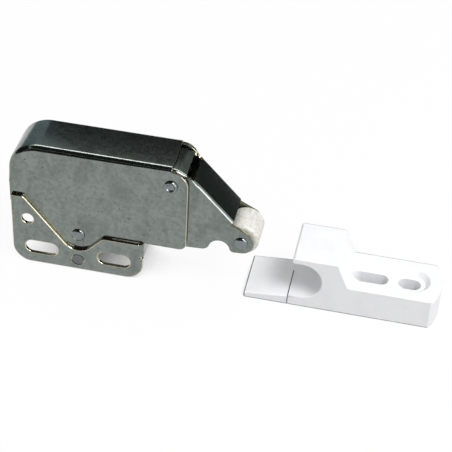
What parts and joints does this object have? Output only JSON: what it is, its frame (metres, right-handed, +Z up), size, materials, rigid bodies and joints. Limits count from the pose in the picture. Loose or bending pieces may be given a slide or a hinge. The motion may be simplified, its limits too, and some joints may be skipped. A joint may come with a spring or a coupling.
{
  "type": "touch latch",
  "caption": "Push-to-open cabinet latch: a spring lever with a nylon roller in a folded steel case, and a moulded strike with a roller scoop and a slotted base.",
  "frame": {"origin": "midway between the centres of the two mounting slots, on the outer face of the flange that lies against the cabinet", "axes": "+X along the latch towards the roller and the strike, +Y out of the side that is screwed to the cabinet, +Z up towards the closed back of the case"},
  "size_m": [0.1156, 0.016, 0.0377],
  "materials": {
    "plated_steel": "satin zinc plate with fine mottling",
    "lever_steel": "satin zinc plate",
    "rivet_steel": "satin zinc plate, headed cold",
    "spring_steel": "drawn spring wire and strip",
    "white_nylon": "moulded, satin",
    "roller_nylon": "turned, satin, slightly yellowed"
  },
  "bodies": {
    "case": {"case_shell": "plated_steel", "mounting_bracket": "plated_steel", "pivot_rivet": "rivet_steel", "pivot_bush": "rivet_steel", "cam_rivet": "rivet_steel", "cam_sleeve": "rivet_steel", "spacer_rivet": "rivet_steel", "spacer_sleeve": "rivet_steel", "cam_block": "white_nylon", "leaf_spring": "spring_steel", "leaf_rivet": "rivet_steel", "lever_spring": "spring_steel", "strike": "white_nylon"},
    "lever": {"lever": "lever_steel", "roller_axle": "rivet_steel", "link_pin": "rivet_steel"},
    "roller": {"roller": "roller_nylon", "roller_bush": "rivet_steel"},
    "link": {"link": "lever_steel", "follower_pin": "rivet_steel"}
  },
  "joints": [
    {"name": "lever_swing", "type": "hinge", "parent": "case", "child": "lever", "pos_m": [0.0248, -0.008, 0.027], "axis": [0, -1, 0], "range_deg": [0, 32], "stiffness_Nm_per_rad": 0.12, "springref_deg": -20.05, "deforming": ["lever_spring"]},
    {"name": "roller_spin", "type": "hinge", "parent": "lever", "child": "roller", "pos_m": [0.0436, -0.008, 0.0112], "axis": [0, -1, 0], "continuous": true},
    {"name": "link_turn", "type": "hinge", "parent": "lever", "child": "link", "pos_m": [0.0248, -0.008, 0.0155], "axis": [0, -1, 0], "range_deg": [-32, 0]}
  ],
  "couplings": [
    {"joint": "link_turn", "follows": "lever_swing", "ratio": -1}
  ]
}
